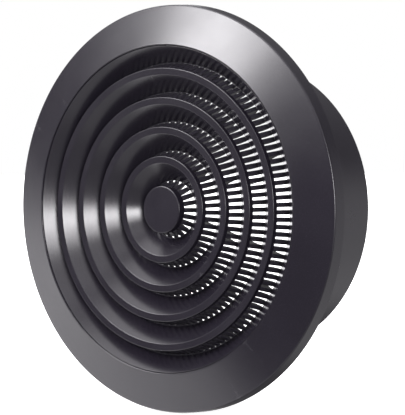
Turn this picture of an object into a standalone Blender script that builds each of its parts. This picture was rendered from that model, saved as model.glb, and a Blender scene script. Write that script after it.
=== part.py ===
"""Round ceiling air diffuser with a drop-out louvre core, for a 150 mm round duct.

Metres, +Z up. The diffuser's axis lies along Y: the face looks towards -Y and the neck
that goes into the duct points towards +Y. The origin is on the axis, in the plane of the
flange's back rim, which is the plane of the ceiling. The neck side stays put; everything
under the empty core_frame pulls straight out through the face.

Pieces are described by a radius from the axis and a depth behind the face plane, which is
the plane that holds the disc, the front lips of the rings and the flange's inner edge.
"""

import math

import bmesh
import bpy
from mathutils import Vector

# ---- Driving dimensions, in metres ----
GAP = 0.0003                    # clearance between pieces that touch

# Neck and flange
NECK_OUTER_R = 0.0740           # slides into a 150 mm duct
NECK_WALL = 0.0020
NECK_END = 0.0734               # depth of the neck's open end
FLANGE_INNER_R = 0.0815
FLANGE_OUTER_R = 0.1016         # at the front edge of the rim
FLANGE_RIM_R = 0.1021           # at the back of the rim, which has a little draft
FLANGE_EDGE_DEPTH = 0.0068      # depth of the rim's front edge
CEILING_DEPTH = 0.0140          # depth of the flange's back rim
FLANGE_WALL = 0.0020
FLANGE_SLOPE = FLANGE_EDGE_DEPTH / (FLANGE_OUTER_R - FLANGE_INNER_R)
EDGE_ROUND = 0.0004
FUNNEL_CLEARANCE = 0.0010       # depth left between the outer cone and the neck's funnel
MOUTH_WALL = 0.0024             # width of the neck's front rim, under the flange

# Louvre rings
RING_COUNT = 4
FIRST_LIP_R = 0.0265            # outer radius of the smallest lip
RING_PITCH = 0.0146
LIP_WIDTH = 0.0034
LIP_DEPTH = 0.0028
CONE_SLOPE = 0.938              # radius lost for each metre of depth
CONE_WALL = 0.0019              # wall of a cone, measured along the radius
CONE_END = 0.00915              # depth where every cone ends

# Centre disc
DISC_R = 0.0117
DISC_DEPTH = 0.0042
DISC_WALL = 0.0015

# Slat rings: the fins stand between a lip and the back of the next cone
FIN_COUNTS = (22, 48, 73, 98, 124)
FIRST_FIN_ANGLE = math.radians(-18.0)
FIN_WIDTH = 0.0022
FIN_THICK = 0.0024              # thickness of a fin along the radius, from its lip to its knee
FIN_KNEE = 0.72                 # share of a fin's length where it starts to thin out
FIN_END_THICK = 0.0011          # thickness at the hoop
FIN_SETBACK = 0.0005            # how far a fin starts inside the lip's edge
HOOP_WALL = 0.0016
HOOP_LENGTH = 0.00095

# Ribs on the backs of the rings: one to every so many fins
FINS_PER_RIB = (8, 8, 9, 7)
RIB_WIDTH = 0.0012
RIB_END_DEPTH = 0.0110          # depth of a rib's straight back edge
RIB_ROOT = 0.0007               # how far a rib's root reaches past the corner of its cone

# Foam gasket behind the flange
GASKET_INNER_R = 0.0900
GASKET_OUTER_R = 0.0985

# Spring clips that hold the core in the neck
CLIP_COUNT = 3
FIRST_CLIP_ANGLE = math.radians(57.0)
CLIP_WIDTH = 0.0080
CLIP_THICK = 0.0006
CLIP_LENGTH = 0.0160
CLIP_BOW = 0.0012

# Facets round each turned piece
FLANGE_STEPS = 72
NECK_STEPS = 60
GASKET_STEPS = 48
DISC_STEPS = 32
RING_STEPS = 24                 # for the smallest ring, less STEPS_PER_RING
STEPS_PER_RING = 8

PLASTIC = (0.036, 0.036, 0.042, 1.0)
FOAM = (0.012, 0.012, 0.013, 1.0)
STEEL = (0.58, 0.58, 0.60, 1.0)


# ---- Helpers ----
def place(radius, depth, angle=0.0, sideways=0.0):
    """A point at a radius and depth, turned round the axis, then shifted sideways."""
    along = Vector((math.cos(angle), math.sin(angle), 0.0))
    across = Vector((-math.sin(angle), math.cos(angle), 0.0))
    return along * radius + across * sideways + Vector((0.0, 0.0, CEILING_DEPTH - depth))


def material(name, colour, roughness, metallic=0.0):
    """A Principled material of one colour."""
    made = bpy.data.materials.new(name)
    made.use_nodes = True
    shader = made.node_tree.nodes["Principled BSDF"]
    shader.inputs["Base Color"].default_value = colour
    shader.inputs["Roughness"].default_value = roughness
    shader.inputs["Metallic"].default_value = metallic
    return made


def finish_object(name, bm, parent, look, sharp_degrees=30.0):
    """Turn a bmesh into a named object with its own material, shaded smooth."""
    bmesh.ops.recalc_face_normals(bm, faces=bm.faces)
    mesh = bpy.data.meshes.new(name)
    bm.to_mesh(mesh)
    bm.free()
    mesh.shade_smooth()
    mesh.set_sharp_from_angle(angle=math.radians(sharp_degrees))
    obj = bpy.data.objects.new(name, mesh)
    bpy.context.collection.objects.link(obj)
    obj.parent = parent
    obj.data.materials.append(material(name, *look))
    return obj


def revolved(name, outline, steps, parent, look):
    """A turned piece: a closed outline of (radius, depth) points spun round the axis."""
    bm = bmesh.new()
    ring = [bm.verts.new(place(radius, depth)) for radius, depth in outline]
    for here, there in zip(ring, ring[1:] + ring[:1]):
        bm.edges.new((here, there))
    bmesh.ops.spin(bm, geom=bm.verts[:] + bm.edges[:], cent=(0.0, 0.0, 0.0),
                   axis=(0.0, 0.0, 1.0), angle=math.tau, steps=steps, use_merge=True)
    bmesh.ops.remove_doubles(bm, verts=bm.verts, dist=1e-6)
    return finish_object(name, bm, parent, look)


def axis_frame(name):
    """An empty on the axis that turns the pieces' own +Z towards the room, at -Y."""
    empty = bpy.data.objects.new(name, None)
    empty.rotation_euler = (math.radians(90.0), 0.0, 0.0)
    bpy.context.collection.objects.link(empty)
    return empty


# ---- Shared geometry ----
def lip_outer(ring):
    """Outer radius of a ring's lip. Ring 0 is the centre disc."""
    return DISC_R if ring == 0 else FIRST_LIP_R + (ring - 1) * RING_PITCH


def lip_inner(ring):
    """Radius where a ring's cone starts, at the face plane."""
    return FIRST_LIP_R + (ring - 1) * RING_PITCH - LIP_WIDTH


def cone_end_r(ring):
    """Radius of the visible side of a ring's cone, at its back end."""
    return lip_inner(ring) - CONE_SLOPE * CONE_END


def flange_front(radius):
    """Depth of the flange's front surface at a radius."""
    return (radius - FLANGE_INNER_R) * FLANGE_SLOPE


def flange_back(radius):
    """Depth of the flange's hidden surface at a radius."""
    return flange_front(radius) + FLANGE_WALL * math.hypot(1.0, FLANGE_SLOPE)


# ---- Neck side ----
def make_flange_ring(parent, look):
    """The visible shallow cone of the flange, with its rounded rim and skirt."""
    inner_wall_r = FLANGE_RIM_R - FLANGE_WALL
    outline = [
        (FLANGE_INNER_R, flange_front(FLANGE_INNER_R) + EDGE_ROUND),
        (FLANGE_INNER_R + EDGE_ROUND, flange_front(FLANGE_INNER_R + EDGE_ROUND)),
        (FLANGE_OUTER_R - 2 * EDGE_ROUND, flange_front(FLANGE_OUTER_R - 2 * EDGE_ROUND)),
        (FLANGE_OUTER_R, FLANGE_EDGE_DEPTH + EDGE_ROUND),
        (FLANGE_RIM_R, CEILING_DEPTH),
        (inner_wall_r, CEILING_DEPTH),
        (inner_wall_r - EDGE_ROUND, flange_back(inner_wall_r - EDGE_ROUND)),
        (FLANGE_INNER_R, flange_back(FLANGE_INNER_R)),
    ]
    return revolved("flange_ring", outline, FLANGE_STEPS, parent, look)


def make_neck(parent, look):
    """The round spigot, with the funnel mouth that the core drops into."""
    inner_r = NECK_OUTER_R - NECK_WALL
    mouth_depth = flange_back(FLANGE_INNER_R) + GAP
    outer_cone_r = lip_inner(RING_COUNT + 1) + CONE_WALL
    funnel_start = (outer_cone_r - FLANGE_INNER_R) / CONE_SLOPE + FUNNEL_CLEARANCE
    funnel_wall = NECK_WALL * math.hypot(1.0, CONE_SLOPE)
    inner_bend = funnel_start + (FLANGE_INNER_R - inner_r) / CONE_SLOPE
    outer_bend = funnel_start + (FLANGE_INNER_R + funnel_wall - NECK_OUTER_R) / CONE_SLOPE
    mouth_outer_r = FLANGE_INNER_R + MOUTH_WALL
    outline = [
        (mouth_outer_r, flange_back(mouth_outer_r) + GAP),
        (NECK_OUTER_R, outer_bend),
        (NECK_OUTER_R, NECK_END - EDGE_ROUND),
        (NECK_OUTER_R - EDGE_ROUND, NECK_END),
        (inner_r, NECK_END),
        (inner_r, inner_bend),
        (FLANGE_INNER_R, funnel_start),
        (FLANGE_INNER_R, mouth_depth),
    ]
    return revolved("neck_spigot", outline, NECK_STEPS, parent, look)


def make_gasket(parent, look):
    """The foam ring that seals the flange to the ceiling."""
    outline = [
        (GASKET_INNER_R, flange_back(GASKET_INNER_R) + GAP),
        (GASKET_OUTER_R, flange_back(GASKET_OUTER_R) + GAP),
        (GASKET_OUTER_R, CEILING_DEPTH),
        (GASKET_INNER_R, CEILING_DEPTH),
    ]
    return revolved("flange_gasket", outline, GASKET_STEPS, parent, look)


# ---- Core ----
def make_outer_cone(parent, look):
    """The widest cone, which closes the gap between the core and the flange."""
    ring = RING_COUNT + 1
    front_r = FLANGE_INNER_R - GAP
    end_r = cone_end_r(ring)
    start_depth = (lip_inner(ring) - front_r) / CONE_SLOPE + EDGE_ROUND / 4
    side_end = (lip_inner(ring) + CONE_WALL - front_r) / CONE_SLOPE
    outline = [
        (front_r - EDGE_ROUND / 2, start_depth),
        (front_r, start_depth + EDGE_ROUND / 2),
        (front_r, side_end),
        (end_r + CONE_WALL, CONE_END),
        (end_r, CONE_END),
    ]
    return revolved("core_outer_cone", outline, NECK_STEPS, parent, look)


def make_disc(parent, look):
    """The flat cap in the middle, a shallow cup that is open at the back."""
    outline = [
        (0.0, 0.0),
        (DISC_R - EDGE_ROUND, 0.0),
        (DISC_R, EDGE_ROUND),
        (DISC_R, DISC_DEPTH),
        (DISC_R - DISC_WALL, DISC_DEPTH),
        (DISC_R - DISC_WALL, DISC_WALL),
        (0.0, DISC_WALL),
    ]
    return revolved("centre_disc", outline, DISC_STEPS, parent, look)


def fin_line(ring):
    """The outer edge of a fin: (radius, depth) at its front, then at the hoop."""
    lip_depth = DISC_DEPTH if ring == 0 else LIP_DEPTH
    front = (lip_outer(ring) - FIN_SETBACK, lip_depth + GAP)
    back = (cone_end_r(ring + 1) - GAP, CONE_END + GAP)
    return front, back


def make_slat_ring(ring, parent, look):
    """A cage of thin tapered fins, joined by a hoop behind the next cone's back edge."""
    (front_r, front_depth), (back_r, hoop_depth) = fin_line(ring)
    end_depth = hoop_depth + HOOP_LENGTH
    knee_r = front_r + FIN_KNEE * (back_r - front_r) - FIN_THICK
    knee_depth = front_depth + FIN_KNEE * (hoop_depth - front_depth)
    count = FIN_COUNTS[ring]
    half = FIN_WIDTH / 2
    bm = bmesh.new()
    fins = []
    for index in range(count):
        angle = FIRST_FIN_ANGLE + math.tau * index / count

        def corner(radius, depth, side):
            return bm.verts.new(place(radius, depth, angle, side * half))

        fin = {"hoop_front": bm.verts.new(place(back_r + HOOP_WALL, hoop_depth, angle)),
               "hoop_end": bm.verts.new(place(back_r + HOOP_WALL, end_depth, angle))}
        for side in (-1, 1):
            fin["tip_out", side] = corner(front_r, front_depth, side)
            fin["tip_in", side] = corner(front_r - FIN_THICK, front_depth, side)
            fin["knee", side] = corner(knee_r, knee_depth, side)
            fin["root", side] = corner(back_r, hoop_depth, side)
            fin["end_out", side] = corner(back_r, end_depth, side)
            fin["end_in", side] = corner(back_r - FIN_END_THICK, end_depth, side)
        fins.append(fin)
    for fin, following in zip(fins, fins[1:] + fins[:1]):
        faces = [
            # the fin
            (fin["tip_out", -1], fin["tip_out", 1], fin["tip_in", 1], fin["tip_in", -1]),
            (fin["tip_out", -1], fin["root", -1], fin["root", 1], fin["tip_out", 1]),
            (fin["tip_in", -1], fin["tip_in", 1], fin["knee", 1], fin["knee", -1]),
            (fin["knee", -1], fin["knee", 1], fin["end_in", 1], fin["end_in", -1]),
            # the hoop at the fin
            (fin["hoop_front"], fin["root", 1], fin["root", -1]),
            (fin["hoop_end"], fin["end_out", -1], fin["end_in", -1], fin["end_in", 1],
             fin["end_out", 1]),
            # the hoop between this fin and the next
            (fin["hoop_front"], following["hoop_front"], following["root", -1],
             fin["root", 1]),
            (fin["hoop_end"], fin["end_out", 1], following["end_out", -1],
             following["hoop_end"]),
            (fin["hoop_front"], fin["hoop_end"], following["hoop_end"],
             following["hoop_front"]),
            (fin["root", 1], following["root", -1], following["end_out", -1],
             fin["end_out", 1]),
        ]
        for side in (-1, 1):
            faces.append((fin["tip_out", side], fin["tip_in", side], fin["knee", side],
                          fin["end_in", side], fin["end_out", side], fin["root", side]))
        for face in faces:
            bm.faces.new(face)
    return finish_object(f"slat_ring_{ring}", bm, parent, look)


def make_ribs(ring, parent, look):
    """The thin ribs between a ring's cone and its slats, as a hidden body to join to the ring."""
    (front_r, front_depth), (back_r, hoop_depth) = fin_line(ring)
    lean = (back_r - front_r) / (hoop_depth - front_depth)
    inside_r = front_r - FIN_THICK - GAP
    buried_depth = LIP_DEPTH - GAP
    cone_back_r = cone_end_r(ring) + CONE_WALL
    outline = [
        (lip_inner(ring), buried_depth),
        (inside_r, buried_depth),
        (inside_r + lean * (RIB_END_DEPTH - front_depth), RIB_END_DEPTH),
        (cone_back_r + RIB_ROOT, RIB_END_DEPTH),
        (cone_back_r + RIB_ROOT, CONE_END),
        (cone_back_r - RIB_ROOT, CONE_END - GAP),
    ]
    bm = bmesh.new()
    for index in range(0, FIN_COUNTS[ring], FINS_PER_RIB[ring - 1]):
        angle = FIRST_FIN_ANGLE + math.tau * index / FIN_COUNTS[ring]
        near = [bm.verts.new(place(r, d, angle, -RIB_WIDTH / 2)) for r, d in outline]
        far = [bm.verts.new(place(r, d, angle, RIB_WIDTH / 2)) for r, d in outline]
        bm.faces.new(near)
        bm.faces.new(far)
        for i in range(len(outline)):
            j = (i + 1) % len(outline)
            bm.faces.new((near[i], near[j], far[j], far[i]))
    ribs = finish_object(f"ribs_{ring}_guide", bm, parent, look)
    ribs.hide_render = True
    ribs.display_type = "WIRE"
    return ribs


def make_louvre_ring(ring, parent, look):
    """A flat lip with its cone and the ribs on its back."""
    inner_r = lip_inner(ring)
    outer_r = lip_outer(ring)
    end_r = cone_end_r(ring)
    outline = [
        (inner_r - CONE_SLOPE * EDGE_ROUND, EDGE_ROUND),
        (inner_r + EDGE_ROUND, 0.0),
        (outer_r - EDGE_ROUND, 0.0),
        (outer_r, EDGE_ROUND),
        (outer_r, LIP_DEPTH),
        (inner_r + CONE_WALL - CONE_SLOPE * LIP_DEPTH, LIP_DEPTH),
        (end_r + CONE_WALL, CONE_END),
        (end_r, CONE_END),
    ]
    steps = RING_STEPS + STEPS_PER_RING * ring
    louvre = revolved(f"louvre_ring_{ring}", outline, steps, parent, look)
    join = louvre.modifiers.new("ribs", "BOOLEAN")
    join.operation = "UNION"
    join.solver = "EXACT"
    join.object = make_ribs(ring, parent, look)
    return louvre


def make_clip(index, parent, look):
    """A leaf spring behind the core, bowed outwards to grip the inside of the neck."""
    neck_inner_r = NECK_OUTER_R - NECK_WALL
    start = CONE_END + 2 * GAP + HOOP_LENGTH
    rest_r = neck_inner_r - GAP - CLIP_BOW
    stations = [(0.0, 0.0), (0.55, 0.0), (0.78, CLIP_BOW), (1.0, -CLIP_BOW)]
    outer = [(rest_r + bow, start + t * CLIP_LENGTH) for t, bow in stations]
    inner = [(r - CLIP_THICK, depth) for r, depth in outer]
    outline = outer + inner[::-1]
    angle = FIRST_CLIP_ANGLE + math.tau * index / CLIP_COUNT
    bm = bmesh.new()
    near = [bm.verts.new(place(r, d, angle, -CLIP_WIDTH / 2)) for r, d in outline]
    far = [bm.verts.new(place(r, d, angle, CLIP_WIDTH / 2)) for r, d in outline]
    last = len(outer) - 1
    for side in (near, far):
        for i in range(last):
            bm.faces.new((side[i], side[i + 1], side[-2 - i], side[-1 - i]))
    for i in range(len(outline)):
        j = (i + 1) % len(outline)
        bm.faces.new((near[i], near[j], far[j], far[i]))
    return finish_object(f"core_clip_{index + 1}", bm, parent, look, sharp_degrees=50.0)


def main():
    for obj in list(bpy.data.objects):
        bpy.data.objects.remove(obj)
    plastic = (PLASTIC, 0.32)
    foam = (FOAM, 0.95)
    steel = (STEEL, 0.35, 1.0)

    neck_frame = axis_frame("neck_frame")
    make_flange_ring(neck_frame, plastic)
    make_neck(neck_frame, plastic)
    make_gasket(neck_frame, foam)

    core_frame = axis_frame("core_frame")
    make_outer_cone(core_frame, plastic)
    make_disc(core_frame, plastic)
    for ring in range(1, RING_COUNT + 1):
        make_louvre_ring(ring, core_frame, plastic)
    for ring in range(RING_COUNT + 1):
        make_slat_ring(ring, core_frame, plastic)
    for index in range(CLIP_COUNT):
        make_clip(index, core_frame, steel)


main()
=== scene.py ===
"""Looks of the round ceiling air diffuser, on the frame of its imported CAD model.

Metres, +Z up. The diffuser's axis lies along Y: the face looks towards -Y and the neck points
towards +Y. Points are given by a radius from the axis, a depth behind the face plane (the plane
of the disc and of the ring lips) and an angle from +X towards +Z.
"""
import math

import bmesh
import bpy
from mathutils import Matrix, Vector, noise


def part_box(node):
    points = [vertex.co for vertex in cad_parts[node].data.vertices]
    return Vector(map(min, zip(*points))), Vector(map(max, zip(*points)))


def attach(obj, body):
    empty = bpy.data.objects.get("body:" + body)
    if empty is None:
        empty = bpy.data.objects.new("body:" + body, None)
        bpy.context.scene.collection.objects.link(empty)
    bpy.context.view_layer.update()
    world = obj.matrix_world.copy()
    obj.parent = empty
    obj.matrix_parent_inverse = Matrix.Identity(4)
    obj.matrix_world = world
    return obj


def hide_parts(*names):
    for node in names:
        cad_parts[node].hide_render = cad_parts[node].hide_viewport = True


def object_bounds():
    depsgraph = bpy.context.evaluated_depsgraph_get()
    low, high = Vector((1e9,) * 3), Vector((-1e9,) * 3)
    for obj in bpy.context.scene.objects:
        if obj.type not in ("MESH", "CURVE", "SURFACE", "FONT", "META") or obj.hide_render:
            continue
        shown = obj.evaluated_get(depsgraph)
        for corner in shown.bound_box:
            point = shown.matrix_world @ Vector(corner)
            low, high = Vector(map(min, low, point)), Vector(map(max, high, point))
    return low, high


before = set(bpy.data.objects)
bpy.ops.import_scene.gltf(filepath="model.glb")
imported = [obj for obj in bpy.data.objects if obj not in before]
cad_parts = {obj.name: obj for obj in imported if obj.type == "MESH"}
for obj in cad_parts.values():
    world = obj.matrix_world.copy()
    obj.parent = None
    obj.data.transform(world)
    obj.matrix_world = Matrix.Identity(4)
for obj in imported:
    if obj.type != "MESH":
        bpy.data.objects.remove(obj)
cad_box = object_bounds()

# ---- Sizes taken from the CAD frame ----
RINGS = (1, 2, 3, 4)
FACE_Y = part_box("centre_disc")[0].y
FIRST_LIP_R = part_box("louvre_ring_1")[1].x
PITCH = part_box("louvre_ring_2")[1].x - FIRST_LIP_R
LIP_R = {ring: FIRST_LIP_R + (ring - 1) * PITCH for ring in RINGS}
LIP_R[0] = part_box("centre_disc")[1].x
CONE_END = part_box("core_outer_cone")[1].y - FACE_Y
RIB_END_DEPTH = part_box("louvre_ring_1")[1].y - FACE_Y
HOOP_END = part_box("slat_ring_1")[1].y - FACE_Y
DISC_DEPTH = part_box("centre_disc")[1].y - FACE_Y
NECK_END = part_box("neck_spigot")[1].y - FACE_Y
RIM_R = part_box("flange_ring")[1].x
RIM_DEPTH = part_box("flange_ring")[1].y - FACE_Y
MOUTH_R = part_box("core_outer_cone")[1].x
GASKET_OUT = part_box("flange_gasket")[1].x
CLIP_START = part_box("core_clip_1")[0].y - FACE_Y
CLIP_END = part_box("core_clip_1")[1].y - FACE_Y

# ---- Sizes of the design that a box can't give ----
MM = 0.001
DISC_WALL = 1.5 * MM
LIP_WIDTH = 3.4 * MM
LIP_DEPTH = 2.8 * MM
CONE_SLOPE = 0.938               # radius lost for each metre of depth
CONE_WALL = 1.9 * MM
FLANGE_IN_R = 81.5 * MM
FLANGE_OUT_R = 101.6 * MM
FLANGE_EDGE_DEPTH = 6.8 * MM
FLANGE_SLOPE = FLANGE_EDGE_DEPTH / (FLANGE_OUT_R - FLANGE_IN_R)
WALL = 2.0 * MM
NECK_R = 74.0 * MM
FUNNEL_SETBACK = 1.0 * MM        # room between the outer cone and the funnel behind it
MOUTH_LAP = 2.4 * MM             # how far the funnel's mouth reaches behind the flange
GASKET_IN = 90.0 * MM
FOAM_ROUGHNESS = 0.12 * MM       # how far the cut foam's faces wander
FOAM_WAVE = 250.0                # waves to the metre
FIN_COUNTS = (22, 48, 73, 98, 124)
FINS_PER_RIB = {1: 8, 2: 8, 3: 9, 4: 7}
FIRST_FIN = math.radians(-18.0)
FIN_WIDTH = 2.2 * MM
FIN_THICK = 2.4 * MM             # along the radius, from the lip to the knee
FIN_KNEE = 0.72                  # share of a fin's length where it starts to thin out
FIN_END_THICK = 1.1 * MM         # at the hoop
FIN_SETBACK = 0.5 * MM           # how far a fin stands inside the edge of its lip
FIN_FRONT_GAP = 0.02 * MM        # between a fin and the back of its lip
HOOP_WALL = 1.5 * MM
HOOP_LAP = 0.8 * MM              # how far a fin's end runs into the hoop
HOOP_SINK = 0.05 * MM            # how far it stays below the hoop's faces
RIB_WIDTH = 1.2 * MM
RIB_ROOT = 0.7 * MM              # how far a rib's root reaches past the corner of its cone
CLIP_COUNT = 3
FIRST_CLIP = math.radians(57.0)
CLIP_WIDTH = 8.0 * MM
CLIP_THICK = 0.6 * MM
CLIP_BOW = 1.2 * MM              # how far it swells out towards the neck's wall
CLIP_SWELL_AT = 0.74             # shares of the clip's length
CLIP_SWELL_LENGTH = 0.13
CLIP_TIP_START = 0.86
CLIP_TAPER_START = 0.8
CLIP_TAPER = 0.22                # share of its width that a clip loses towards its end
GAP = 0.3 * MM


def lip_inner(ring):
    """Radius where a ring's cone starts, at the face plane."""
    return LIP_R[1] + (ring - 1) * PITCH - LIP_WIDTH


def cone_end_r(ring):
    """Radius of the visible side of a ring's cone, at its back end."""
    return lip_inner(ring) - CONE_SLOPE * CONE_END


def flange_front(radius):
    """Depth of the flange's front surface."""
    return (radius - FLANGE_IN_R) * FLANGE_SLOPE


def flange_back(radius):
    """Depth of the flange's hidden surface."""
    return flange_front(radius) + WALL * math.hypot(1.0, FLANGE_SLOPE)


# ---- Mesh helpers ----
HOLD = 0.5 * MM                  # how near to a fillet a straight run gets its extra point


def at(radius, depth, angle=0.0, sideways=0.0):
    """A point by radius and depth, turned round the axis, then shifted sideways."""
    x = math.cos(angle) * radius - math.sin(angle) * sideways
    z = math.sin(angle) * radius + math.cos(angle) * sideways
    return Vector((x, FACE_Y + depth, z))


def rounded(corners, steps=5):
    """A closed outline with its corners filleted; each corner is (radius, depth, fillet).

    A long straight run gets a point near each end, so that its faces don't fan out from the fillet.
    """
    points = []
    count = len(corners)
    for i, (x, y, fillet) in enumerate(corners):
        here = Vector((x, y))
        back = (Vector(corners[i - 1][:2]) - here).normalized()
        ahead = (Vector(corners[(i + 1) % count][:2]) - here).normalized()
        if fillet <= 0.0:
            points.append(here)
            continue
        half = back.angle(ahead) / 2
        centre = here + (back + ahead).normalized() * (fillet / math.sin(half))
        start = here + back * (fillet / math.tan(half)) - centre
        end = here + ahead * (fillet / math.tan(half)) - centre
        sweep = start.angle_signed(end)
        for step in range(steps + 1):
            turn = -sweep * step / steps
            points.append(centre + Matrix.Rotation(turn, 2) @ start)
    held = []
    for here, there in zip(points, points[1:] + points[:1]):
        held.append(here)
        run = there - here
        if run.length > 4 * HOLD:
            held += [here + run * (HOLD / run.length), there - run * (HOLD / run.length)]
    return [(p.x, p.y) for p in held]


def new_piece(name, bm, look, sharp=40.0):
    """A named object from a bmesh, smooth-shaded with normals that keep flat faces flat."""
    bmesh.ops.recalc_face_normals(bm, faces=bm.faces)
    mesh = bpy.data.meshes.new(name)
    bm.to_mesh(mesh)
    bm.free()
    mesh.shade_smooth()
    mesh.set_sharp_from_angle(angle=math.radians(sharp))
    piece = bpy.data.objects.new(name, mesh)
    bpy.context.collection.objects.link(piece)
    piece.data.materials.append(look)
    return piece


def even_normals(piece):
    """Let the large faces set the shading, so that small fillets don't bend it."""
    fix = piece.modifiers.new("normals", "WEIGHTED_NORMAL")
    fix.keep_sharp = True
    fix.weight = 80


def stand_for(piece, node, body):
    """Let a piece take a CAD node's place, on the node's body."""
    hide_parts(node)
    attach(piece, body)


def turned(name, outline, steps, look):
    """A piece turned round the diffuser's axis from a closed outline."""
    bm = bmesh.new()
    ring = [bm.verts.new(at(radius, depth)) for radius, depth in outline]
    for here, there in zip(ring, ring[1:] + ring[:1]):
        bm.edges.new((here, there))
    bmesh.ops.spin(bm, geom=bm.verts[:] + bm.edges[:], cent=(0.0, 0.0, 0.0),
                   axis=(0.0, 1.0, 0.0), angle=math.tau, steps=steps, use_merge=True)
    bmesh.ops.remove_doubles(bm, verts=bm.verts, dist=1e-6)
    piece = new_piece(name, bm, look)
    even_normals(piece)
    return piece


def apply_modifier(piece, name):
    """Apply one modifier of a piece."""
    bpy.context.view_layer.objects.active = piece
    bpy.ops.object.modifier_apply(modifier=name)


def unite(piece, other):
    """Melt another mesh into a piece, ahead of the piece's other modifiers."""
    join = piece.modifiers.new("join", "BOOLEAN")
    join.operation = "UNION"
    join.solver = "EXACT"
    join.object = other
    piece.modifiers.move(len(piece.modifiers) - 1, 0)
    apply_modifier(piece, "join")
    bpy.data.objects.remove(other)


def plate(bm, outline, angle, width):
    """A flat plate in a plane through the axis, as thick as width."""
    near = [bm.verts.new(at(r, d, angle, -width / 2)) for r, d in outline]
    far = [bm.verts.new(at(r, d, angle, width / 2)) for r, d in outline]
    bm.faces.new(near)
    bm.faces.new(far)
    for i in range(len(outline)):
        j = (i + 1) % len(outline)
        bm.faces.new((near[i], near[j], far[j], far[i]))


# ---- Materials ----
SPECK_COLOUR = (0.13, 0.125, 0.14)
WORN_COLOUR = (0.07, 0.068, 0.075)


def combined(tree, operation, first, second):
    """The output of a math node for two values, or for a value and a number."""
    node = tree.nodes.new("ShaderNodeMath")
    node.operation = operation
    tree.links.new(first, node.inputs[0])
    if isinstance(second, float):
        node.inputs[1].default_value = second
    else:
        tree.links.new(second, node.inputs[1])
    return node.outputs["Value"]


class Nodes:
    """Short calls for building one material's node tree."""

    def __init__(self, name):
        self.material = bpy.data.materials.new(name)
        self.material.use_nodes = True
        self.tree = self.material.node_tree
        self.shader = self.tree.nodes["Principled BSDF"]
        self.place = self.tree.nodes.new("ShaderNodeTexCoord").outputs["Object"]

    def link(self, source, target):
        self.tree.links.new(source, target)

    def noise(self, size, detail=3.0, roughness=0.5):
        """Noise whose blobs are about size metres across."""
        node = self.tree.nodes.new("ShaderNodeTexNoise")
        node.inputs["Scale"].default_value = 1.0 / size
        node.inputs["Detail"].default_value = detail
        node.inputs["Roughness"].default_value = roughness
        self.link(self.place, node.inputs["Vector"])
        return node.outputs["Fac"]

    def cells(self, size):
        """Distance to the nearest of many points, about size metres apart."""
        node = self.tree.nodes.new("ShaderNodeTexVoronoi")
        node.inputs["Scale"].default_value = 1.0 / size
        self.link(self.place, node.inputs["Vector"])
        return node.outputs["Distance"]

    def between(self, value, low, high, out_low, out_high):
        """A value mapped from one range to another, and kept inside it."""
        node = self.tree.nodes.new("ShaderNodeMapRange")
        for name, number in (("From Min", low), ("From Max", high),
                             ("To Min", out_low), ("To Max", out_high)):
            node.inputs[name].default_value = number
        self.link(value, node.inputs["Value"])
        return node.outputs["Result"]

    def math(self, operation, first, second):
        return combined(self.tree, operation, first, second)

    def mix(self, factor, first, second):
        """Two colours mixed by a value."""
        node = self.tree.nodes.new("ShaderNodeMix")
        node.data_type = "RGBA"
        self.link(factor, node.inputs["Factor"])
        for socket, colour in ((node.inputs["A"], first), (node.inputs["B"], second)):
            if isinstance(colour, tuple):
                socket.default_value = (*colour, 1.0)
            else:
                self.link(colour, socket)
        return node.outputs["Result"]

    def bump(self, height, distance, strength, below=None):
        """A bump of a height, in metres, on top of another."""
        node = self.tree.nodes.new("ShaderNodeBump")
        node.inputs["Distance"].default_value = distance
        node.inputs["Strength"].default_value = strength
        self.link(height, node.inputs["Height"])
        if below is not None:
            self.link(below, node.inputs["Normal"])
        return node.outputs["Normal"]

    def edges(self):
        """High on worn convex edges, low on flat faces."""
        node = self.tree.nodes.new("ShaderNodeNewGeometry")
        return self.between(node.outputs["Pointiness"], 0.52, 0.60, 0.0, 1.0)

    def shade(self, **sockets):
        """Set or link the shader's own sockets."""
        for name, value in sockets.items():
            socket = self.shader.inputs[name.replace("_", " ")]
            if isinstance(value, (int, float)):
                socket.default_value = value
            else:
                self.link(value, socket)


def moulded_plastic(name, colour, gloss, fleck):
    """Anthracite moulded plastic: cloudy colour and gloss, a fine fleck and an orange-peel skin."""
    n = Nodes(name)
    cloud = n.noise(30 * MM, 4.0)
    lighter = tuple(c * 1.2 for c in colour)
    darker = tuple(c * 0.85 for c in colour)
    base = n.mix(cloud, darker, lighter)
    specks = n.between(n.cells(0.45 * MM), 0.05, 0.22, fleck, 0.0)
    base = n.mix(specks, base, SPECK_COLOUR)
    worn = n.math("MULTIPLY", n.edges(), n.between(n.noise(5 * MM), 0.4, 0.7, 0.0, 0.22))
    base = n.mix(worn, base, WORN_COLOUR)
    rough = n.between(n.noise(16 * MM, 5.0), 0.3, 0.7, gloss - 0.02, gloss + 0.03)
    rough = n.math("ADD", rough, n.math("MULTIPLY", worn, 0.3))
    skin = n.bump(n.noise(0.4 * MM, 2.0), 0.012 * MM, 0.55)
    normal = n.bump(n.noise(2.4 * MM, 2.0), 0.02 * MM, 0.12, below=skin)
    n.shade(Base_Color=base, Roughness=rough, IOR=1.5, Normal=normal)
    return n.material


def closed_foam(name):
    """Soft black closed-cell foam."""
    n = Nodes(name)
    cells = n.cells(0.9 * MM)
    base = n.mix(cells, (0.022, 0.022, 0.023), (0.010, 0.010, 0.011))
    rough = n.between(n.noise(8 * MM), 0.3, 0.7, 0.85, 0.98)
    normal = n.bump(cells, 0.25 * MM, 0.8)
    n.shade(Base_Color=base, Roughness=rough, Normal=normal)
    return n.material


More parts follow.
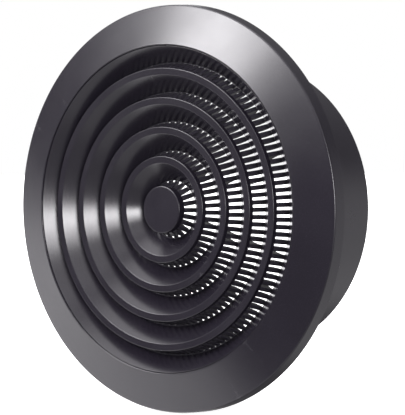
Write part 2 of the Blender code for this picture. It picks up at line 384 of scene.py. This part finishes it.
def spring_steel(name):
    """Rolled spring steel with a fine grain and a little tarnish."""
    n = Nodes(name)
    tarnish = n.noise(5 * MM, 4.0)
    base = n.mix(tarnish, (0.42, 0.41, 0.40), (0.62, 0.62, 0.63))
    rough = n.between(n.noise(1.2 * MM, 6.0), 0.3, 0.7, 0.26, 0.42)
    normal = n.bump(n.noise(0.4 * MM), 0.01 * MM, 0.4)
    n.shade(Base_Color=base, Roughness=rough, Metallic=1.0, Normal=normal)
    return n.material


# ---- Neck side ----
def make_flange(look):
    """The shallow cone that covers the hole in the ceiling, with its rim."""
    wall_r = RIM_R - WALL
    outline = rounded([
        (FLANGE_IN_R, 0.0, 0.45 * MM),
        (FLANGE_OUT_R, FLANGE_EDGE_DEPTH, 0.9 * MM),
        (RIM_R, RIM_DEPTH, 0.3 * MM),
        (wall_r, RIM_DEPTH, 0.3 * MM),
        (wall_r, flange_back(wall_r), 0.8 * MM),
        (FLANGE_IN_R, flange_back(FLANGE_IN_R), 0.3 * MM),
    ])
    return turned("flange", outline, 384, look)


def make_neck(look):
    """The spigot with its funnel mouth."""
    inner_r = NECK_R - WALL
    outer_cone_r = lip_inner(5) + CONE_WALL
    funnel = (outer_cone_r - FLANGE_IN_R) / CONE_SLOPE + FUNNEL_SETBACK
    funnel_wall = WALL * math.hypot(1.0, CONE_SLOPE)
    mouth_out = FLANGE_IN_R + MOUTH_LAP
    outline = rounded([
        (mouth_out, flange_back(mouth_out) + GAP, 0.2 * MM),
        (NECK_R, funnel + (FLANGE_IN_R + funnel_wall - NECK_R) / CONE_SLOPE, 1.2 * MM),
        (NECK_R, NECK_END, 0.6 * MM),
        (inner_r, NECK_END, 0.6 * MM),
        (inner_r, funnel + (FLANGE_IN_R - inner_r) / CONE_SLOPE, 1.5 * MM),
        (FLANGE_IN_R, funnel, 0.2 * MM),
        (FLANGE_IN_R, flange_back(FLANGE_IN_R) + GAP, 0.2 * MM),
    ])
    return turned("neck", outline, 320, look)


def make_gasket(look):
    """The foam seal behind the flange, with the soft, uneven faces of cut foam."""
    outline = rounded([
        (GASKET_IN, flange_back(GASKET_IN) + GAP, 0.5 * MM),
        (GASKET_OUT, flange_back(GASKET_OUT) + GAP, 0.5 * MM),
        (GASKET_OUT, RIM_DEPTH, 0.8 * MM),
        (GASKET_IN, RIM_DEPTH, 0.8 * MM),
    ], steps=3)
    piece = turned("foam_gasket", outline, 240, look)
    for vertex in piece.data.vertices:
        push = noise.noise(vertex.co * FOAM_WAVE) * FOAM_ROUGHNESS
        out = Vector((vertex.co.x, 0.0, vertex.co.z)).normalized()
        vertex.co -= out * abs(push)
    return piece


# ---- Core ----
def make_outer_cone(look):
    """The widest cone, which closes the core against the flange."""
    start = (lip_inner(5) - MOUTH_R) / CONE_SLOPE
    end_r = cone_end_r(5)
    outline = rounded([
        (MOUTH_R, start, 0.15 * MM),
        (MOUTH_R, start + CONE_WALL / CONE_SLOPE, 0.2 * MM),
        (end_r + CONE_WALL, CONE_END, 0.25 * MM),
        (end_r, CONE_END, 0.25 * MM),
    ])
    return turned("outer_cone", outline, 320, look)


def make_disc(look):
    """The flat cap in the middle."""
    inner_r = LIP_R[0] - DISC_WALL
    rim = rounded([
        (0.0, 0.0, 0.0),
        (LIP_R[0], 0.0, 0.45 * MM),
        (LIP_R[0], DISC_DEPTH, 0.2 * MM),
        (inner_r, DISC_DEPTH, 0.2 * MM),
        (inner_r, DISC_WALL, 0.4 * MM),
        (0.0, DISC_WALL, 0.0),
    ])
    return turned("disc", rim, 192, look)


def rib_outline(ring):
    """Outline of a rib on a ring's back: (radius, depth) points."""
    (front_r, front_depth), (back_r, back_depth) = fin_line(ring)
    lean = (back_r - front_r) / (back_depth - front_depth)
    inside_r = front_r - FIN_THICK - GAP
    cone_back_r = cone_end_r(ring) + CONE_WALL
    return [
        (lip_inner(ring), LIP_DEPTH - GAP),
        (inside_r, LIP_DEPTH - GAP),
        (inside_r + lean * (RIB_END_DEPTH - front_depth), RIB_END_DEPTH),
        (cone_back_r + RIB_ROOT, RIB_END_DEPTH),
        (cone_back_r + RIB_ROOT, CONE_END),
        (cone_back_r - RIB_ROOT, CONE_END - GAP),
    ]


def make_louvre(ring, look):
    """A flat lip with its cone, and the ribs on its back."""
    inner_r = lip_inner(ring)
    end_r = cone_end_r(ring)
    outline = rounded([
        (inner_r, 0.0, 0.35 * MM),
        (LIP_R[ring], 0.0, 0.35 * MM),
        (LIP_R[ring], LIP_DEPTH, 0.2 * MM),
        (inner_r + CONE_WALL - CONE_SLOPE * LIP_DEPTH, LIP_DEPTH, 0.0),
        (end_r + CONE_WALL, CONE_END, 0.25 * MM),
        (end_r, CONE_END, 0.25 * MM),
    ])
    piece = turned(f"louvre_{ring}", outline, 128 + 48 * ring, look)
    ribs = bmesh.new()
    for index in range(0, FIN_COUNTS[ring], FINS_PER_RIB[ring]):
        angle = FIRST_FIN + math.tau * index / FIN_COUNTS[ring]
        plate(ribs, rib_outline(ring), angle, RIB_WIDTH)
    unite(piece, new_piece(f"ribs_{ring}", ribs, look))
    return piece


def fin_line(ring):
    """The outer edge of a fin: (radius, depth) at its front, then at the hoop."""
    lip_depth = DISC_DEPTH if ring == 0 else LIP_DEPTH
    front = (LIP_R[ring] - FIN_SETBACK, lip_depth + GAP)
    back = (cone_end_r(ring + 1) - GAP, CONE_END + GAP)
    return front, back


def make_slats(ring, look):
    """A cage of thin tapered fins, joined by a hoop behind the next cone's back edge."""
    (front_r, front_depth), (back_r, hoop_depth) = fin_line(ring)
    front_depth -= GAP - FIN_FRONT_GAP
    knee_r = front_r + FIN_KNEE * (back_r - front_r) - FIN_THICK
    knee_depth = front_depth + FIN_KNEE * (hoop_depth - front_depth)
    fin = [
        (front_r, front_depth),
        (back_r, hoop_depth),
        (back_r + HOOP_LAP, hoop_depth + HOOP_SINK),
        (back_r + HOOP_LAP, HOOP_END - HOOP_SINK),
        (back_r - FIN_END_THICK, HOOP_END - HOOP_SINK),
        (knee_r, knee_depth),
        (front_r - FIN_THICK, front_depth),
    ]
    count = FIN_COUNTS[ring]
    bm = bmesh.new()
    for index in range(count):
        plate(bm, fin, FIRST_FIN + math.tau * index / count, FIN_WIDTH)
    fins = new_piece(f"slats_{ring}", bm, look)
    bevel = fins.modifiers.new("edges", "BEVEL")
    bevel.width = 0.22 * MM
    bevel.segments = 3
    bevel.limit_method = "ANGLE"
    apply_modifier(fins, "edges")
    hoop_outline = rounded([
        (back_r + HOOP_WALL, hoop_depth, 0.2 * MM),
        (back_r + HOOP_WALL, HOOP_END, 0.2 * MM),
        (back_r, HOOP_END, 0.2 * MM),
        (back_r, hoop_depth, 0.2 * MM),
    ], steps=3)
    hoop = turned(f"hoop_{ring}", hoop_outline, max(96, count * 2), look)
    unite(fins, hoop)
    even_normals(fins)
    return fins


def make_clip(index, look):
    """A bowed leaf spring behind the core."""
    rest_r = NECK_R - WALL - GAP - CLIP_BOW
    length = CLIP_END - CLIP_START
    steps = 28
    bm = bmesh.new()
    rows = []
    for step in range(steps + 1):
        share = step / steps
        swell = math.exp(-((share - CLIP_SWELL_AT) / CLIP_SWELL_LENGTH) ** 2)
        tip = max(0.0, share - CLIP_TIP_START) / (1.0 - CLIP_TIP_START)
        taper = CLIP_TAPER * max(0.0, share - CLIP_TAPER_START) / (1.0 - CLIP_TAPER_START)
        radius = rest_r + CLIP_BOW * (swell - 1.2 * tip ** 1.5)
        depth = CLIP_START + share * length
        rows.append((radius, depth, CLIP_WIDTH / 2 * (1.0 - taper)))
    angle = FIRST_CLIP + math.tau * index / CLIP_COUNT
    grid = []
    for radius, depth, half in rows:
        grid.append([bm.verts.new(at(radius, depth, angle, side * half))
                     for side in (-1, -0.5, 0, 0.5, 1)])
    for low, high in zip(grid, grid[1:]):
        for i in range(4):
            bm.faces.new((low[i], low[i + 1], high[i + 1], high[i]))
    clip = new_piece(f"clip_{index + 1}", bm, look, sharp=60.0)
    solid = clip.modifiers.new("thickness", "SOLIDIFY")
    solid.thickness = CLIP_THICK
    solid.offset = -1.0
    bevel = clip.modifiers.new("edges", "BEVEL")
    bevel.width = 0.15 * MM
    bevel.segments = 2
    bevel.limit_method = "ANGLE"
    bevel.angle_limit = math.radians(50.0)
    return clip


# ---- Studio ----
FACE_CENTRE = Vector((0.0, FACE_Y, 0.0))
CAMERA_AZIMUTH = 40.35           # from straight in front of the face, towards +X
CAMERA_ELEVATION = 1.47
CAMERA_ROLL = -0.418
CAMERA_DISTANCE = 1.107
CAMERA_LENS = 193.5
AIM_RIGHT = 0.0205               # the middle of the view lies this far beside the face's centre
AIM_UP = 0.0010


def towards(azimuth, elevation):
    """A unit vector; azimuth 0 is straight in front of the face and 90 is +X."""
    a = math.radians(azimuth)
    e = math.radians(elevation)
    return Vector((math.sin(a) * math.cos(e), -math.cos(a) * math.cos(e), math.sin(e)))


def make_camera():
    """A long lens in front of the face, well to its right and just above its middle."""
    back = towards(CAMERA_AZIMUTH, CAMERA_ELEVATION)
    level = towards(CAMERA_AZIMUTH + 90.0, 0.0)
    upright = back.cross(level)
    roll = math.radians(CAMERA_ROLL)
    right = level * math.cos(roll) + upright * math.sin(roll)
    place = FACE_CENTRE + back * CAMERA_DISTANCE
    aim = FACE_CENTRE + right * AIM_RIGHT + upright * AIM_UP
    z_axis = (place - aim).normalized()
    x_axis = (right - z_axis * right.dot(z_axis)).normalized()
    y_axis = z_axis.cross(x_axis)
    data = bpy.data.cameras.new("camera")
    data.sensor_width = 36.0
    data.lens = CAMERA_LENS
    data.clip_start = 0.05
    data.clip_end = 100.0
    camera = bpy.data.objects.new("camera", data)
    turn = Matrix((x_axis, y_axis, z_axis)).transposed()
    camera.matrix_world = Matrix.Translation(place) @ turn.to_4x4()
    bpy.context.collection.objects.link(camera)
    bpy.context.scene.camera = camera


# Soft lights of the studio. Each is a strength, and one or more patches of sky that overlap:
# a patch is (azimuth, elevation, full to this many degrees, gone at).
SOFT_LIGHTS = (
    (20.5, (-31.5, 27.5, 3.0, 17.0)),                                # key, high on the left
    (1.3, (-34.0, 25.0, 12.0, 42.0), (0.0, 90.0, 75.0, 90.0)),       # its halo
    (13.5, (53.0, 9.5, 3.0, 17.0)),                                  # right of the camera
    (14.0, (51.0, 5.0, 1.0, 10.0)),                                  # its brightest part
    (0.4, (51.0, -25.0, 5.0, 28.0)),                                 # and below it
    (2.1, (-76.0, -15.0, 36.0, 62.0), (-167.6, -54.4, 84.0, 88.5)),  # bright table, low on the left
    (2.1, (-60.0, 66.0, 8.0, 48.0)),                                 # above
    (0.6, (20.0, 80.0, 20.0, 70.0)),                                 # straight above
    (1.2, (44.0, 39.0, 6.0, 22.0)),                                  # over the right one
    (0.8, (15.0, -70.0, 8.0, 38.0)),                                 # below
    (0.75, (142.0, -24.0, 10.0, 50.0)),                              # behind, low on the right
    (0.1, (170.0, 40.0, 20.0, 60.0)),                                # behind, high
    (1.6, (-130.0, -1.0, 12.0, 24.0)),                               # white wall behind on the left
)
AMBIENT = 0.15
LIGHT_TINT = (1.0, 0.985, 1.01, 1.0)


def sky_patch(tree, direction, azimuth, elevation, full, gone):
    """One in the middle of a round patch of sky, falling smoothly to nothing outside it."""
    dot = tree.nodes.new("ShaderNodeVectorMath")
    dot.operation = "DOT_PRODUCT"
    tree.links.new(direction, dot.inputs[0])
    dot.inputs[1].default_value = towards(azimuth, elevation)
    patch = tree.nodes.new("ShaderNodeMapRange")
    patch.interpolation_type = "SMOOTHERSTEP"
    patch.inputs["From Min"].default_value = math.cos(math.radians(gone))
    patch.inputs["From Max"].default_value = math.cos(math.radians(full))
    tree.links.new(dot.outputs["Value"], patch.inputs["Value"])
    return patch.outputs["Result"]


def make_world():
    """White to the camera; elsewhere a dim room with large soft lights in it."""
    world = bpy.data.worlds.new("studio")
    bpy.context.scene.world = world
    world.use_nodes = True
    tree = world.node_tree
    tree.nodes.clear()
    direction = tree.nodes.new("ShaderNodeTexCoord").outputs["Generated"]
    total = None
    for strength, *patches in SOFT_LIGHTS:
        light = sky_patch(tree, direction, *patches[0])
        for patch in patches[1:]:
            light = combined(tree, "MULTIPLY", light, sky_patch(tree, direction, *patch))
        light = combined(tree, "MULTIPLY", light, strength)
        base = AMBIENT if total is None else total
        total = combined(tree, "ADD", light, base)
    room = tree.nodes.new("ShaderNodeBackground")
    room.inputs["Color"].default_value = LIGHT_TINT
    tree.links.new(total, room.inputs["Strength"])
    backdrop = tree.nodes.new("ShaderNodeBackground")
    backdrop.inputs["Color"].default_value = (1.0, 1.0, 1.0, 1.0)
    seen = tree.nodes.new("ShaderNodeLightPath")
    choose = tree.nodes.new("ShaderNodeMixShader")
    tree.links.new(seen.outputs["Is Camera Ray"], choose.inputs["Fac"])
    tree.links.new(room.outputs["Background"], choose.inputs[1])
    tree.links.new(backdrop.outputs["Background"], choose.inputs[2])
    output = tree.nodes.new("ShaderNodeOutputWorld")
    tree.links.new(choose.outputs["Shader"], output.inputs["Surface"])


FLOOR_RADIUS = 12.0
FLOOR_DROP = 0.2 * MM            # how far the floor lies under the rim
FLOOR_GLOW = 0.9


def make_floor():
    """A plain pale floor under the rim, kept out of the plastic's reflections."""
    bm = bmesh.new()
    bmesh.ops.create_circle(bm, cap_ends=True, segments=96, radius=FLOOR_RADIUS)
    mesh = bpy.data.meshes.new("floor")
    bm.to_mesh(mesh)
    bm.free()
    floor = bpy.data.objects.new("floor", mesh)
    floor.location.z = cad_box[0].z - FLOOR_DROP
    bpy.context.collection.objects.link(floor)
    n = Nodes("pale_floor")
    pale = n.mix(n.noise(0.4), (0.93, 0.93, 0.93), (0.95, 0.95, 0.95))
    n.shade(Base_Color=pale, Roughness=0.8, Emission_Color=pale, Emission_Strength=FLOOR_GLOW)
    mesh.materials.append(n.material)
    floor.visible_glossy = False
    floor.visible_diffuse = False
    floor.visible_shadow = False


# ---- Build ----
make_camera()
make_world()
make_floor()
bpy.context.scene.view_settings.view_transform = "Standard"

ANTHRACITE = (0.0100, 0.0084, 0.0130)
SLAT_ANTHRACITE_PAINTED_LIT = (0.0165, 0.0148, 0.0200)       # painted light: a paler copy of the anthracite, so that the slats' side faces look lit
flange_plastic = moulded_plastic("flange_plastic", ANTHRACITE, 0.24, 0.20)
neck_plastic = moulded_plastic("neck_plastic", ANTHRACITE, 0.25, 0.16)
core_plastic = moulded_plastic("core_plastic", ANTHRACITE, 0.23, 0.16)
# The slats get a paler copy of the same plastic: painted light on their side faces.
slat_plastic = moulded_plastic("slat_plastic", SLAT_ANTHRACITE_PAINTED_LIT, 0.23, 0.15)
foam = closed_foam("gasket_foam")
steel = spring_steel("clip_steel")

stand_for(make_flange(flange_plastic), "flange_ring", "neck")
stand_for(make_neck(neck_plastic), "neck_spigot", "neck")
stand_for(make_gasket(foam), "flange_gasket", "neck")
stand_for(make_outer_cone(core_plastic), "core_outer_cone", "core")
stand_for(make_disc(core_plastic), "centre_disc", "core")
for ring in RINGS:
    stand_for(make_louvre(ring, core_plastic), f"louvre_ring_{ring}", "core")
for ring in (0, *RINGS):
    stand_for(make_slats(ring, slat_plastic), f"slat_ring_{ring}", "core")
for index in range(CLIP_COUNT):
    stand_for(make_clip(index, steel), f"core_clip_{index + 1}", "core")
